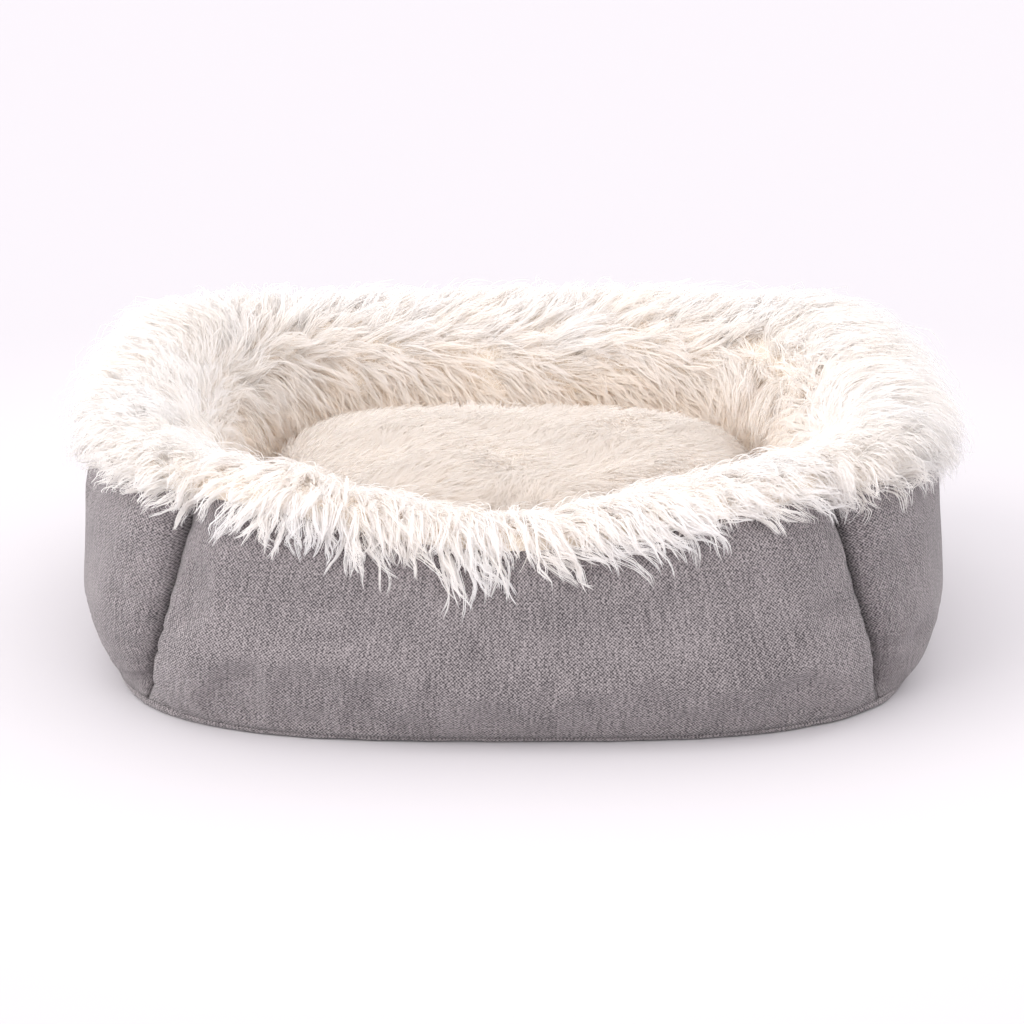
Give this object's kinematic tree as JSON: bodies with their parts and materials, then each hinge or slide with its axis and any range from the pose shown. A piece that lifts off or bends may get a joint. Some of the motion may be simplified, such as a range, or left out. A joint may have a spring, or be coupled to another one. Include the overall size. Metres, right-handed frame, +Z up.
{
  "type": "pet cushion bed",
  "caption": "Rectangular padded pet bed: grey woven outer wall with a dipped front, long-pile white rim and lining, and a loose zipped plush cushion.",
  "frame": {"origin": "on the floor under the middle of the bed", "axes": "+Z up, +X along the long side, the low entry of the front wall faces -Y"},
  "size_m": [0.637, 0.5346, 0.187],
  "materials": {
    "grey_cloth": "heathered grey basket-weave upholstery cloth, matt",
    "nonslip_cloth": "plain grey cloth with rubbery dots",
    "foam": "soft pad",
    "lining": "plain off-white lining cloth",
    "long_pile": "long white faux fur, clumped tips",
    "fibre": "loose polyester fibre",
    "plush": "cream plush, medium pile",
    "zip_tape": "off-white zip tape",
    "zip_metal": "nickel-plated"
  },
  "bodies": {
    "bed": {"front_outer_panel": "grey_cloth", "right_outer_panel": "grey_cloth", "back_outer_panel": "grey_cloth", "left_outer_panel": "grey_cloth", "base_welt": "grey_cloth", "base_panel": "nonslip_cloth", "base_pad": "foam", "inner_floor_panel": "lining", "front_fur_panel": "long_pile", "right_fur_panel": "long_pile", "back_fur_panel": "long_pile", "left_fur_panel": "long_pile", "front_bolster_fill": "fibre", "right_bolster_fill": "fibre", "back_bolster_fill": "fibre", "left_bolster_fill": "fibre"},
    "cushion": {"cushion_top_cover": "plush", "cushion_bottom_cover": "lining", "cushion_fill": "fibre", "cushion_zip_tape": "zip_tape", "zip_stop_left": "zip_metal", "zip_stop_right": "zip_metal"},
    "zip_slider": {"zip_slider": "zip_metal"},
    "zip_pull_tab": {"zip_pull_tab": "zip_metal"}
  },
  "joints": [
    {"name": "cushion_lift", "type": "slide", "parent": "bed", "child": "cushion", "axis": [0, 0, 1], "range_m": [0, 0.22]},
    {"name": "zip_slide", "type": "slide", "parent": "cushion", "child": "zip_slider", "axis": [-1, 0, 0], "range_m": [0, 0.156]},
    {"name": "pull_tab_turn", "type": "hinge", "parent": "zip_slider", "child": "zip_pull_tab", "pos_m": [0.078, 0.1342, 0.08], "axis": [0, 0, 1], "range_deg": [0, 180]}
  ]
}
